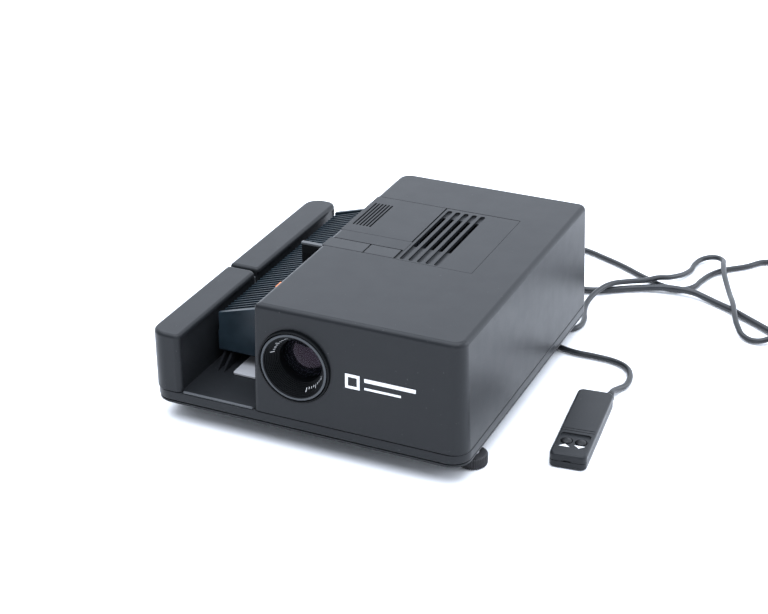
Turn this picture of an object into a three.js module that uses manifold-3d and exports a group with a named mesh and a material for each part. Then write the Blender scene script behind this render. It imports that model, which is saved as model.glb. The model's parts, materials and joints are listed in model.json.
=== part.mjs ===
// Straight-tray slide projector with a wired remote handset.
// Millimetres, +X right, +Y back, +Z up; the lens looks along -Y.
// Parts are laid out from the front left corner of the base, at table level,
// and one group at the end moves the whole model to its origin.
import * as THREE from "three";
import { mergeVertices } from "three/addons/utils/BufferGeometryUtils.js";
import Module from "manifold-3d";

const wasm = await Module();
wasm.setup();

// ---------- driving dimensions ----------
const gap = 0.3;
const machine = { width: 270, depth: 286, top: 121, seam: 28, baseBottom: 18 };
const wall = 3;
const draft = Math.tan(THREE.MathUtils.degToRad(2));
const body = { left: 92, right: machine.width, front: 0, back: machine.depth };
const wing = {
  width: 27.6, top: 79, wall: 3.5, cap: 4, inner: 25.6, split: 131.2, splitGap: 2.8,
};
const optics = { x: 129, z: 74.3, gateY: 131, lampX: 190, lampY: 178 };
const lens = { ringRadius: 30.3, rimRadius: 28.2, tubeRadius: 24, length: 78 };
const tray = { left: 30.5, right: 88.5, front: 57, back: 276, bottom: 41, pitch: 5 };
const keys = { front: 118, back: 135, left: 95.6, split: 132.3, right: 160.4 };
const lid = { left: 161.6, right: 227, front: 117.4, back: 226 };
const panel = { left: 96.6, right: 161, front: 152, back: 225.6 };
const foot = { radius: 12, height: 9.6, spindle: 5.2, spindleTop: 30, inset: 9, y: 40 };
const handset = { x: 315.8, y: 58.8, yaw: 6, width: 29.5, length: 105, height: 12.6 };
const vents = { count: 5, left: 164, step: 7.4, width: 4.4 };
const fineSlotting = { count: 6, left: 101, step: 3, width: 1.4 };
const rocker = { left: 222, right: 242, low: 60, high: 73 };
const leadAt = [200, 38];
const socketAt = [150, 42];
const cordDiameter = { remote: 5, mains: 6 };
const plug = { length: 34, width: 18, height: 13.5, pinRadius: 2.4, pinLength: 18, pinInset: 3.5 };

// ---------- materials ----------
const finish = (color, roughness, metalness = 0) =>
  new THREE.MeshStandardMaterial({ color, roughness, metalness });
const charcoal = finish(0x3a3c3f, 0.6);
const black = finish(0x151618, 0.5);
const trayBlue = finish(0x1b232b, 0.35);
const rubber = finish(0x17181a, 0.85);
const lightGrey = finish(0x9a9c9e, 0.55);
const steel = finish(0xa9abad, 0.35, 0.9);
const glass = finish(0xcfd8e2, 0.05);
const boardGreen = finish(0x27523a, 0.6);
const ceramic = finish(0xd8d2c4, 0.7);

// ---------- solids ----------
function toSolid(geometry) {
  const bare = geometry.clone();
  bare.deleteAttribute("normal");
  bare.deleteAttribute("uv");
  const merged = mergeVertices(bare, 1e-4);
  return new wasm.Manifold(new wasm.Mesh({
    numProp: 3,
    vertProperties: new Float32Array(merged.attributes.position.array),
    triVerts: new Uint32Array(merged.index.array),
  }));
}

function toGeometry(solid) {
  const mesh = solid.getMesh();
  const geometry = new THREE.BufferGeometry();
  geometry.setAttribute("position", new THREE.BufferAttribute(mesh.vertProperties, 3));
  geometry.setIndex(new THREE.BufferAttribute(mesh.triVerts, 1));
  geometry.computeVertexNormals();
  return geometry;
}

const join = (...geometries) =>
  geometries.map(toSolid).reduce((whole, next) => whole.add(next));
const cut = (solid, ...geometries) =>
  geometries.map(toSolid).reduce((rest, next) => rest.subtract(next), solid);

function box(x0, x1, y0, y1, z0, z1) {
  const geometry = new THREE.BoxGeometry(x1 - x0, y1 - y0, z1 - z0);
  return geometry.translate((x0 + x1) / 2, (y0 + y1) / 2, (z0 + z1) / 2);
}

// A round bar from `from` to `to` along one axis, centred on the other two coordinates.
function rod(axis, centre, radius, from, to, segments = 24, endRadius = radius) {
  const geometry = new THREE.CylinderGeometry(endRadius, radius, to - from, segments);
  const middle = (from + to) / 2;
  if (axis === "z") return geometry.rotateX(Math.PI / 2).translate(centre[0], centre[1], middle);
  if (axis === "x") return geometry.rotateZ(-Math.PI / 2).translate(middle, centre[0], centre[1]);
  return geometry.translate(centre[0], middle, centre[1]);
}

// Radii run front left, front right, back right, back left.
function outline(x0, x1, y0, y1, radii) {
  const [fl, fr, br, bl] = typeof radii === "number" ? [radii, radii, radii, radii] : radii;
  const shape = new THREE.Shape();
  shape.moveTo(x0 + fl, y0);
  shape.absarc(x1 - fr, y0 + fr, fr, -Math.PI / 2, 0);
  shape.absarc(x1 - br, y1 - br, br, 0, Math.PI / 2);
  shape.absarc(x0 + bl, y1 - bl, bl, Math.PI / 2, Math.PI);
  shape.absarc(x0 + fl, y0 + fl, fl, Math.PI, 1.5 * Math.PI);
  return shape;
}

function slab(shape, z0, z1, segments = 6) {
  const options = { depth: z1 - z0, bevelEnabled: false, curveSegments: segments };
  return new THREE.ExtrudeGeometry(shape, options).translate(0, 0, z0);
}

// A bar running along X whose cross-section is drawn in Y and Z.
function acrossX(section, x0, x1) {
  const turn = new THREE.Matrix4().set(0, 0, 1, x0, 1, 0, 0, 0, 0, 1, 0, 0, 0, 0, 0, 1);
  return new THREE.ExtrudeGeometry(section, { depth: x1 - x0, bevelEnabled: false }).applyMatrix4(turn);
}

// A slab whose top and bottom edges are rounded; the caller trims the edge it wants square.
function softSlab(shape, z0, z1, edge, segments = 6) {
  const options = {
    depth: z1 - z0 - 2 * edge, bevelThickness: edge, bevelSize: edge,
    bevelOffset: -edge, bevelSegments: 3, curveSegments: segments,
  };
  return new THREE.ExtrudeGeometry(shape, options).translate(0, 0, z0 + edge);
}

// Moulding draft: every side leans inwards above the seam.
function lean(geometry, x0, x1, y0, y1) {
  const position = geometry.attributes.position;
  const middle = [(x0 + x1) / 2, (y0 + y1) / 2];
  const half = [(x1 - x0) / 2, (y1 - y0) / 2];
  for (let i = 0; i < position.count; i++) {
    const inset = draft * Math.max(0, position.getZ(i) - machine.seam);
    position.setX(i, middle[0] + (position.getX(i) - middle[0]) * (1 - inset / half[0]));
    position.setY(i, middle[1] + (position.getY(i) - middle[1]) * (1 - inset / half[1]));
  }
  return geometry;
}

// A profile of [radius, distance along the axis] points, closed on the axis, turned to face -Y.
function turned(profile, centre, segments = 32) {
  const points = profile.map(([radius, along]) => new THREE.Vector2(radius, along));
  return new THREE.LatheGeometry(points, segments).translate(centre[0], 0, centre[1]);
}

// ---------- assembly ----------
const projector = new THREE.Group();
projector.name = "slide_projector";

function piece(name, shape, material, parent = projector) {
  const geometry = shape.isBufferGeometry ? toGeometry(toSolid(shape)) : toGeometry(shape);
  const mesh = new THREE.Mesh(geometry, material);
  mesh.name = name;
  parent.add(mesh);
  return mesh;
}

// ---------- base ----------
const footPlaces = {
  left: [foot.inset, foot.y],
  right: [machine.width - foot.inset, foot.y],
};
const footHole = foot.spindle + 0.4;

function basePan() {
  const { width, depth, seam, baseBottom } = machine;
  const top = seam - gap;
  const floor = baseBottom + 2.5;
  const outer = join(
    slab(outline(0, width, 0, depth, [16, 16, 10, 10]), baseBottom, top),
    slab(outline(4, width - 4, 4, depth - 4, [13, 13, 7, 7]), baseBottom - 2.5, baseBottom + 1),
  );
  const hollow = slab(outline(wall, width - wall, wall, depth - wall, [13, 13, 7, 7]), floor, seam);
  const rib = box(body.left, body.left + wall, wall - 1, depth - wall + 1, floor - 1, top);
  const airSlots = [];
  for (let i = 0; i < 7; i++) {
    const y = 150 + i * 9;
    airSlots.push(box(180, 236, y, y + 4.5, 10, floor + 1));
  }
  const footHoles = Object.values(footPlaces).map((place) => rod("z", place, footHole, 10, 24));
  return cut(cut(outer, hollow).add(toSolid(rib)), ...airSlots, ...footHoles);
}
piece("base_pan", basePan(), charcoal);

function channelFloor() {
  const [x0, x1] = [wing.wall, body.left - gap];
  const [y0, y1] = [wall + gap, machine.depth - wall - gap];
  const low = machine.baseBottom + 2.5 + gap;
  const plate = join(
    slab(outline(x0, x1, y0, y1, [14, 1, 1, 9]), 25, machine.seam),
    box(x0, x0 + 2, y0 + 12, y1 - 12, low, 26),
    box(x1 - 2, x1, y0 + 12, y1 - 12, low, 26),
  );
  const rails = [34, 40].map((x) => {
    const side = new THREE.Shape();
    side.moveTo(43, machine.seam - 1);
    side.lineTo(43, machine.seam);
    side.lineTo(62, tray.bottom - gap);
    side.lineTo(280, tray.bottom - gap);
    side.lineTo(280, machine.seam - 1);
    return acrossX(side, x, x + 2);
  });
  const whole = plate.add(join(...rails));
  return cut(whole, rod("z", footPlaces.left, footHole + 1, 20, 30));
}
piece("tray_channel_floor", channelFloor(), charcoal);

piece("tray_channel_plate", slab(outline(50, body.left - 1, 43.5, 74, [2, 1, 1, 2]),
  machine.seam + gap, machine.seam + 2.2), lightGrey);

// ---------- outer wing beside the tray ----------
// A hollow bar; its cap stands a little proud of the wall that faces the tray.
function wingCover(y0, y1, radii, endWall) {
  const { width, top, wall: side, cap, inner } = wing;
  const full = softSlab(outline(0, width, y0, y1, radii), machine.seam - 10, top, 2.4);
  const [front, back] = [y0 + endWall.front, y1 - endWall.back];
  const inside = box(side, inner - side, front, back, 0, top - cap);
  const undercut = box(inner, width + 1, front, back, 0, top - cap);
  return cut(toSolid(full), inside, undercut, box(-5, width + 5, y0 - 5, y1 + 5, 0, machine.seam));
}
const frontBarEnd = wing.split - wing.splitGap / 2;
const rearBarStart = wing.split + wing.splitGap / 2;
piece("wing_front_cover",
  wingCover(0, frontBarEnd, [14, 5, 6, 3], { front: 4, back: -1 }), charcoal);
piece("wing_rear_cover",
  wingCover(rearBarStart, machine.depth, [3, 4, 9, 14], { front: -1, back: 5 }), charcoal);

// A light pin in the split of the wing that steers the tray.
piece("tray_guide_pin",
  rod("z", [wing.inner - 1.2, wing.split], 1.1, machine.seam + gap, 72, 16), lightGrey);

// ---------- housing ----------
function ventSlots(z0, z1, y0, y1) {
  const slots = [];
  for (let i = 0; i < vents.count; i++) {
    const x = vents.left + i * vents.step;
    slots.push(box(x, x + vents.width, y0, y1, z0, z1));
  }
  return slots;
}

function fineSlots(z0, z1) {
  const slots = [];
  for (let i = 0; i < fineSlotting.count; i++) {
    const x = fineSlotting.left + i * fineSlotting.step;
    slots.push(box(x, x + fineSlotting.width, 165, 212, z0, z1));
  }
  return slots;
}

const skin = 3;
const gateSlot = { front: optics.gateY - 3.2, back: optics.gateY + 3.2, low: 43, high: 115.6 };

function housingShell() {
  const { seam, top } = machine;
  const { left, right, front, back } = body;
  const outer = lean(softSlab(outline(left, right, front, back, [5, 14, 8, 5]), seam - 10, top, 4),
    left, right, front, back);
  const inner = lean(
    slab(outline(left + wall, right - wall, front + wall, back - wall, [3, 11, 5, 3]),
      seam - 12, top - skin),
    left, right, front, back);
  const shell = cut(toSolid(outer), inner, box(0, 300, -10, 300, 0, seam));
  const openings = [
    rod("y", [optics.x, optics.z], lens.ringRadius + gap, -5, 12, 40),
    box(left - 5, left + 10, gateSlot.front, gateSlot.back, gateSlot.low, gateSlot.high),
    box(keys.left - gap, keys.right + gap, keys.front - gap, keys.back + gap, 110, 130),
    box(lid.left - gap, lid.right + gap, lid.front - gap, lid.back + gap, 110, 130),
    box(panel.left - gap, panel.right - gap, panel.front - gap, panel.back + gap, 110, 130),
    rod("y", leadAt, 6 + gap, 270, 300),
    rod("y", socketAt, 9 + gap, 270, 300),
    box(rocker.left - gap, rocker.right + gap, 270, 300, rocker.low - gap, rocker.high + gap),
  ];
  return cut(shell, ...openings);
}
piece("housing_shell", housingShell(), charcoal);

function grillePanel() {
  const z0 = machine.top - skin;
  const plate = join(box(panel.left, panel.right - 2 * gap, panel.front, panel.back, z0, machine.top));
  return cut(plate, ...fineSlots(z0 - 1, machine.top + 1));
}
piece("grille_panel", grillePanel(), charcoal);

function lampCover() {
  const z0 = machine.top - skin;
  const plate = join(
    box(lid.left, lid.right, lid.front, lid.back - 2.6, z0, machine.top),
    rod("x", [lid.back - 2.6, machine.top - 2.2], 2.2, lid.left, lid.right, 16),
  );
  return cut(plate, ...ventSlots(machine.top - 1.6, 130, 118.8, 222), ...ventSlots(100, 130, 148, 210));
}
piece("lamp_cover", lampCover(), charcoal);

function pushKey(x0, x1) {
  const z0 = machine.top - 2.4;
  return join(
    softSlab(outline(x0, x1, keys.front, keys.back, 0.9), z0, machine.top, 0.5, 2),
    box((x0 + x1) / 2 - 3, (x0 + x1) / 2 + 3, 121, 125, 108.6, z0 + 0.5),
  );
}
piece("key_forward", pushKey(keys.left, keys.split - gap), charcoal);
piece("key_reverse", pushKey(keys.split + gap, keys.right - 1), charcoal);

// ---------- lens ----------
const axisXZ = [optics.x, optics.z];
const ring = (outer, inner, y0, y1) =>
  cut(join(rod("y", axisXZ, outer, y0, y1, 40)), rod("y", axisXZ, inner, y0 - 1, y1 + 1, 40));

piece("lens_port_ring", ring(lens.ringRadius, lens.rimRadius + 0.6, -0.6, 9), black);

function lensBarrel() {
  const profile = [
    [25.4, -1], [lens.rimRadius, 0.6], [lens.rimRadius, 17], [lens.tubeRadius, 19],
    [lens.tubeRadius, lens.length], [15.3, lens.length], [15.3, 32], [18.3, 32],
    [18.3, 12], [25.4, -1],
  ];
  return turned(profile, axisXZ, 40);
}
piece("lens_barrel", lensBarrel(), black);

// A glass element: flat rim, with a bulge of its own height on each face.
function glassElement(radius, y0, y1, frontBulge, backBulge, centre = axisXZ) {
  const profile = [[0, y0 - frontBulge]];
  const steps = 3;
  for (let i = 1; i <= steps; i++) {
    const t = i / steps;
    profile.push([radius * t, y0 - frontBulge * (1 - t * t)]);
  }
  for (let i = steps; i >= 1; i--) {
    const t = i / steps;
    profile.push([radius * t, y1 + backBulge * (1 - t * t)]);
  }
  profile.push([0, y1 + backBulge]);
  return turned(profile, centre, 20);
}
piece("lens_front_element", glassElement(18, 19, 24, 4, 0.5), glass);
piece("lens_rear_element", glassElement(15, 68, 72, 0.5, 3), glass);

const carriage = { left: 99.5, right: 158.5, front: 30, back: 52, low: 45, high: 102.8 };
const guideRods = { lower: [105, 51], upper: [153, 97] };

function lensCarriage() {
  const { left, right, front, back, low, high } = carriage;
  const block = join(box(left, right, front, back, low, high));
  const rods = Object.values(guideRods).map((at) => rod("y", at, 2.9, front - 1, back + 1, 20));
  return cut(block, rod("y", axisXZ, lens.tubeRadius + gap, front - 1, back + 1, 40), ...rods);
}
piece("lens_carriage", lensCarriage(), black);
for (const [name, at] of Object.entries(guideRods)) {
  piece(`guide_rod_${name}`, rod("y", at, 2.5, 12, 118, 16), steel);
}

const focus = { x: carriage.right + gap + 6, y: 41, radius: 6 };
piece("focus_pinion", rod("z", [focus.x, focus.y], focus.radius, 74, 82), lightGrey);
piece("focus_motor", rod("z", [focus.x, focus.y], 6, 44, 73.7), steel);

// ---------- slide gate and light path ----------
function slideGate() {
  const [x0, x1] = [101, 157];
  const plates = [124, 134.5].map((y) => box(x0, x1, y, y + 3.5, 38, 104));
  const window = box(optics.x - 19, optics.x + 19, 120, 142, optics.z - 19, optics.z + 19);
  return cut(join(...plates, box(x0, x1, 124, 138, 34, 42)), window);
}
piece("slide_gate", slideGate(), steel);

piece("condenser_front", glassElement(22, 144, 148, 4.5, 1), glass);

const mirrorPlate = new THREE.BoxGeometry(64, 2, 50).rotateZ(Math.PI / 4)
  .translate(optics.x, optics.lampY, optics.z);
piece("cold_mirror", mirrorPlate, glass);

piece("heat_filter", box(156, 158, 157, 199, 52, 97), glass);
const sideways = (geometry) => {
  geometry.translate(-optics.x, 0, 0).rotateZ(-Math.PI / 2);
  return geometry.translate(0, optics.lampY, 0);
};
piece("condenser_rear", sideways(glassElement(21, 162, 166, 1, 4.5)), glass);

function reflector() {
  const inner = [];
  for (let i = 0; i <= 4; i++) {
    const t = i / 4;
    inner.push([23 * t, 212 - 10 * t * t]);
  }
  const outer = inner.map(([radius, along]) => [radius, along + 1.8]).reverse();
  return sideways(turned([...inner, ...outer], axisXZ, 20));
}
piece("lamp_reflector", reflector(), steel);

const lampAt = [optics.lampX, optics.lampY];
piece("halogen_lamp", join(
  rod("z", lampAt, 6, 62, 84, 20),
  rod("z", lampAt, 6, 84, 90, 20, 1.5),
  box(optics.lampX - 5, optics.lampX + 5, optics.lampY - 2, optics.lampY + 2, 56.3, 62.5),
), glass);
piece("lamp_socket", box(optics.lampX - 9, optics.lampX + 9, optics.lampY - 8, optics.lampY + 8,
  32, 56), ceramic);

function lampHouse() {
  const [x0, x1, y0, y1] = [160, 222, 152.5, 203.5];
  return join(
    box(x0, x1, y0, y0 + 1.6, 30, 112),
    box(x0, x1, y1 - 1.6, y1, 30, 112),
    box(x0, x1, y0, y1, 30, 31.6),
  );
}
piece("lamp_house", lampHouse(), steel);

// ---------- fan ----------
const fan = { y: optics.lampY, z: 74, radius: 35 };

function fanShroud() {
  const plate = join(box(225, 243, fan.y - 40, fan.y + 40, 33, 114));
  return cut(plate, rod("x", [fan.y, fan.z], fan.radius + 2, 220, 250, 36));
}
piece("fan_shroud", fanShroud(), black);

function fanImpeller() {
  const blades = [];
  for (let i = 0; i < 7; i++) {
    const blade = new THREE.BoxGeometry(1.4, 15, fan.radius - 9).rotateZ(Math.PI / 4)
      .translate(0, 0, 9 + (fan.radius - 9) / 2)
      .rotateX((i * 2 * Math.PI) / 7)
      .translate(234, fan.y, fan.z);
    blades.push(blade);
  }
  return join(rod("x", [fan.y, fan.z], 12, 227, 241), ...blades);
}
piece("fan_impeller", fanImpeller(), black);
piece("fan_motor", rod("x", [fan.y, fan.z], 16, 241.4, 258), steel);

// ---------- transformer and control board ----------
// The laminated core with its winding potted on the middle leg.
function transformer() {
  const core = join(box(192, 252, 34, 74, 21, 84));
  const windowed = cut(core, box(205, 214, 30, 80, 33, 72), box(230, 239, 30, 80, 33, 72));
  return windowed.add(join(box(206, 238, 25, 83, 34, 71)));
}
piece("transformer", transformer(), steel);

function controlBoard() {
  return join(
    box(100, 184, 84, 127, 104.4, 106),
    box(110, 118, 120, 126, 105.5, 106.5),
    box(142, 150, 120, 126, 105.5, 106.5),
    box(120, 140, 92, 100, 105.5, 109),
    rod("z", [156, 98], 5, 105.5, 115, 16),
    rod("z", [172, 112], 6, 105.5, 113, 16),
  );
}
piece("control_board", controlBoard(), boardGreen);

// ---------- slide changer ----------
const changer = {
  left: 71, right: 222, top: 114, finger: 8, fingerLow: 89.5, pinionX: 168, pinionRadius: 12,
};

function changerArm() {
  const { left, right, top, finger, fingerLow } = changer;
  return join(
    box(left, right, optics.gateY - 2, optics.gateY + 2, top - 3, top),
    box(left, left + finger, optics.gateY - 0.8, optics.gateY + 0.8, fingerLow, top - 1),
  );
}
piece("changer_arm", changerArm(), lightGrey);

const pinionAt = [changer.pinionX, changer.top - 3 - gap - changer.pinionRadius];
piece("changer_pinion", rod("y", pinionAt, changer.pinionRadius, 128, 134, 30), lightGrey);
piece("changer_motor", rod("y", pinionAt, 9, 134.4, 151), steel);

// ---------- slide tray ----------
const slotCount = 41;
const firstSlot = optics.gateY - 13 * tray.pitch;

// Cross-section of an end plate or a separator: low outside, high beside the gate.
function trayProfile(lowZ, outerZ, innerZ) {
  const shape = new THREE.Shape();
  shape.moveTo(tray.left + 1, lowZ);
  shape.lineTo(tray.right, lowZ);
  shape.lineTo(tray.right, innerZ);
  shape.lineTo(tray.right - 8, innerZ);
  shape.lineTo(tray.left + 1, outerZ);
  return shape;
}

function acrossTray(shape, y0, y1) {
  const options = { depth: y1 - y0, bevelEnabled: false };
  return new THREE.ExtrudeGeometry(shape, options).rotateX(Math.PI / 2).translate(0, y1, 0);
}

function slideTray() {
  const low = tray.bottom;
  const parts = [
    box(tray.left, tray.right, tray.front, tray.back, low, low + 2.6),
    box(tray.left, tray.left + 2, tray.front, tray.back, low, 58),
    box(66, 69.7, tray.front, tray.back, 32, low + 1),
    acrossTray(trayProfile(low + 1, 74.5, 88.6), tray.front, tray.front + 3.5),
    acrossTray(trayProfile(low + 1, 74.5, 88.6), tray.back - 3.5, tray.back),
  ];
  for (let i = 0; i <= slotCount; i++) {
    const y = firstSlot + (i - 0.5) * tray.pitch;
    parts.push(acrossTray(trayProfile(low + 1, 73, 88), y - 0.7, y + 0.7));
  }
  return join(...parts);
}
piece("slide_tray", slideTray(), trayBlue);

const transport = { x: 69.7 + gap + 10, y: 150, radius: 10 };
piece("tray_pinion", rod("z", [transport.x, transport.y], transport.radius, 30, 39.6, 30), lightGrey);

// ---------- feet ----------
for (const [side, place] of Object.entries(footPlaces)) {
  piece(`front_foot_${side}_wheel`, cut(
    join(rod("z", place, foot.radius, 0, foot.height, 36)),
    rod("z", place, 4, foot.height - 4, foot.height + 1, 16),
  ), rubber);
  piece(`front_foot_${side}_spindle`, join(
    rod("z", place, foot.spindle, foot.height + gap, foot.spindleTop, 24),
    rod("z", place, 3.6, foot.height - 3.6, foot.height + 1, 16),
  ), lightGrey);
}
for (const [side, x] of [["left", 34], ["right", 236]]) {
  piece(`rear_foot_${side}`, rod("z", [x, 258], 9, 0, machine.baseBottom - 2.5 - gap, 24), rubber);
}

// ---------- back of the housing ----------
function powerSwitch() {
  const { left, right, low, high } = rocker;
  const side = new THREE.Shape();
  side.moveTo(279.5, low + 1);
  side.lineTo(287.6, low + 0.6);
  side.lineTo(286.4, (low + high) / 2);
  side.lineTo(287.6, high - 0.6);
  side.lineTo(279.5, high - 1);
  return acrossX(side, left + 0.5, right - 0.5);
}
piece("power_switch", powerSwitch(), black);

piece("mains_strain_relief", join(
  rod("y", leadAt, 6, 280, 290),
  rod("y", leadAt, 8, 286.4, 291),
  rod("y", leadAt, 5.8, 290, 316, 20, 4),
), black);

piece("remote_socket", join(
  rod("y", socketAt, 9, 274, 287),
  rod("y", socketAt, 10.5, 286.4, 288),
), black);

// ---------- handset ----------
const handsetGroup = new THREE.Group();
handsetGroup.position.set(handset.x, handset.y, 0);
handsetGroup.rotation.z = THREE.MathUtils.degToRad(handset.yaw);
projector.add(handsetGroup);

const buttonPlaces = { up: [9, 23], down: [20.5, 23] };
const bayFloor = handset.height - 2.6;

function handsetHalf(z0, z1, trimLow, trimHigh) {
  const { width, length } = handset;
  const block = toSolid(softSlab(outline(0, width, 0, length, 5), z0, z1, 1.6, 4));
  return cut(block, box(-5, width + 5, -5, length + 5, -9, trimLow),
    box(-5, width + 5, -5, length + 5, trimHigh, 30));
}

function handsetTop() {
  const half = handsetHalf(0, handset.height, 6 + gap, 40);
  const bay = slab(outline(3.5, handset.width - 3.5, 13, 33, 3), bayFloor, 20, 3);
  const holes = Object.values(buttonPlaces).map((at) => rod("z", at, 4.9, 0, 20, 20));
  return cut(half, bay, ...holes);
}
piece("handset_base", handsetHalf(0, handset.height, -1, 6), charcoal, handsetGroup);
piece("handset_top", handsetTop(), charcoal, handsetGroup);
for (const [name, at] of Object.entries(buttonPlaces)) {
  piece(`handset_button_${name}`, join(
    rod("z", at, 4.4, 8, 11.2, 20),
    rod("z", at, 4.4, 11.2, 12.6, 20, 2.8),
  ), black, handsetGroup);
}
piece("handset_cord_sleeve", join(
  rod("y", [25, 6.2], 4, handset.length + gap, handset.length + 2, 16),
  rod("y", [25, 6.2], 3.6, handset.length + 1, handset.length + 8, 16, 2.9),
), black, handsetGroup);

// ---------- cords ----------
// A tube of round section along hand-chosen points.
function cordTube(points, diameter, sides, steps) {
  const curve = new THREE.CatmullRomCurve3(points.map((p) => new THREE.Vector3(...p)));
  const section = new THREE.Shape();
  for (let i = 0; i < sides; i++) {
    const angle = (i * 2 * Math.PI) / sides;
    const at = [Math.cos(angle) * diameter / 2, Math.sin(angle) * diameter / 2];
    if (i === 0) section.moveTo(...at);
    else section.lineTo(...at);
  }
  return new THREE.ExtrudeGeometry(section, { steps, bevelEnabled: false, extrudePath: curve });
}

// A round coil lying on the table: the outer shape of its turns.
function coilRing(centre, midRadius, bundle, height) {
  const points = [];
  for (let i = 0; i < 8; i++) {
    const angle = (i * 2 * Math.PI) / 8;
    points.push(new THREE.Vector2(
      midRadius + Math.cos(angle) * bundle / 2, (1 + Math.sin(angle)) * height / 2));
  }
  points.push(points[0].clone());
  return new THREE.LatheGeometry(points, 24).rotateX(Math.PI / 2)
    .translate(centre[0], centre[1], 0);
}

// From the handset, under the back of the base, out and away to the right.
const remoteFront = [
  [328.8, 174.4, 6.2], [328.7, 180, 5.6], [330.5, 188, 4], [333.8, 197, 2.8], [334.2, 207, 2.8],
  [332, 217, 2.8], [325.5, 227.5, 2.8], [314, 233.6, 2.8], [296, 235.5, 2.8], [274, 236, 2.8],
  [259.5, 241, 2.8], [251, 249.5, 2.8], [250.5, 262, 2.8], [258, 271.5, 2.8], [264.5, 281, 2.8],
  [265, 295, 2.8], [260, 311, 2.8], [257.5, 323, 4], [258.5, 334, 6.6], [262, 346, 9],
  [268.5, 360, 10], [281, 373, 9.2], [295, 382.5, 8.9], [303, 392, 8.8], [313, 402, 6.8],
  [325, 430, 3.2], [332, 453, 3.6], [337.5, 463, 5], [344.5, 454, 7.4], [350, 442, 8.9],
  [356, 429, 9], [372, 388, 8.2], [381.5, 364, 9.9], [386.5, 349, 8.8], [393.5, 333, 6],
  [403, 321, 3.2], [414, 317.5, 3.2], [424.5, 322.5, 5.4],
];
// Back from the coil, behind the mains lead, and round to the plug behind the machine.
const remoteBack = [
  [386, 479, 2.8], [369, 460, 2.8], [353, 445, 2.8], [344, 431, 2.8], [339, 414, 2.8],
  [336, 399, 2.8], [329, 390.5, 2.8], [318, 388, 2.8], [307, 390.5, 2.8], [296, 396, 2.8],
  [284, 402.5, 2.8], [263, 415, 2.8], [242, 425, 2.8], [220, 434, 2.8], [197, 436, 2.8],
  [176, 426, 2.8], [163, 408, 2.8], [156, 388, 5], [152, 368, 16], [150, 350, 34],
  [150, 338, 41], [150, 330.4, 42],
];
const mainsRoute = [
  [200, 316.8, 38], [200.5, 325, 36.5], [204, 337, 27], [212, 347, 13], [223, 352, 4.6],
  [235, 351, 3.4], [248, 351, 3.4], [263, 358.5, 3.4], [284, 371.5, 3.4], [302, 379.5, 4.2],
  [316, 382, 5.4], [329, 382.3, 6], [341, 382, 5.6], [352, 379, 4.4], [364, 374, 3.6],
  [382, 365, 3.4], [400, 353.5, 3.4], [419, 341, 3.4],
];
const remoteCoil = { centre: [484, 404], mid: 26, bundle: 16, height: 15 };
const mainsCoil = { centre: [492, 300], mid: 31, bundle: 19, height: 18 };

const rim = (coil) => coil.mid + coil.bundle / 2;
const remoteIn = [
  [434, 332.5, 9.7], [440.5, 344, 9], [451, 358, 7.5],
  [remoteCoil.centre[0] - 18, remoteCoil.centre[1] - rim(remoteCoil) - 0.6, 7.5],
];
const remoteOut = [
  [remoteCoil.centre[0] - 4, remoteCoil.centre[1] + rim(remoteCoil) + 3.4, 7.5],
  [458, 452, 5], [430, 468, 3], [408, 478, 2.8],
];
const mainsIn = [
  [434, 331, 3.4], [446, 320, 4.6],
  [mainsCoil.centre[0] - rim(mainsCoil) - 4, mainsCoil.centre[1] + 6, 9],
];
piece("remote_cord_front", cordTube([...remoteFront, ...remoteIn], cordDiameter.remote, 8, 66), rubber);
piece("remote_cord_back", cordTube([...remoteOut, ...remoteBack], cordDiameter.remote, 8, 42), rubber);
piece("mains_cord", cordTube([...mainsRoute, ...mainsIn], cordDiameter.mains, 8, 28), rubber);
piece("remote_cord_coil", coilRing(remoteCoil.centre, remoteCoil.mid, remoteCoil.bundle,
  remoteCoil.height), rubber);
piece("mains_cord_coil", coilRing(mainsCoil.centre, mainsCoil.mid, mainsCoil.bundle,
  mainsCoil.height), rubber);

piece("remote_plug", join(
  rod("y", socketAt, 7.6, 288.4, 308),
  rod("y", socketAt, 5, 307, 330, 16, 3),
), black);

// The plug lies beside the coil, with the last of the lead moulded into its back end.
function mainsPlug() {
  const { length, width, height, pinRadius, pinLength, pinInset } = plug;
  const x = mainsCoil.centre[0] - length / 2;
  const y = mainsCoil.centre[1] - rim(mainsCoil) - 12;
  const tail = [
    [mainsCoil.centre[0] - rim(mainsCoil) - 3.7, mainsCoil.centre[1] - 9, 9],
    [449, 276, 8.6], [455.5, 260, 7.6], [466, 250.5, 7], [x + 2, y, height / 2],
  ];
  const pins = [-1, 1].map((side) =>
    rod("x", [y + side * (width / 2 - pinInset), height / 2], pinRadius,
      x + length - 3, x + length + pinLength, 12));
  const body = slab(outline(x, x + length, y - width / 2, y + width / 2, 5), 0.2, height);
  return join(body, cordTube(tail, cordDiameter.mains, 8, 8), ...pins);
}
piece("mains_plug", mainsPlug(), black);

// ---------- origin ----------
// The origin is under the middle of the projector and handset together, at table level.
const loose = new Set([
  "mains_strain_relief", "mains_cord", "mains_cord_coil", "mains_plug",
  "remote_plug", "remote_cord_front", "remote_cord_back", "remote_cord_coil",
  "handset_cord_sleeve",
]);
const extent = new THREE.Box3();
projector.updateMatrixWorld(true);
projector.traverse((node) => {
  if (node.isMesh && !loose.has(node.name)) extent.expandByObject(node, true);
});
const centre = extent.getCenter(new THREE.Vector3());
projector.position.set(-centre.x, -centre.y, 0);

export default projector;
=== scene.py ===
"""The looks of a straight-tray slide projector with a wired handset, built round its frame.

Lengths are millimetres from the front left corner of the base, at table level, with +X to
the right, +Y to the back and +Z up. at() turns such a point into the frame's metres.
"""
import json
import math

import bmesh
import bpy
from mathutils import Matrix, Vector


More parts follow.
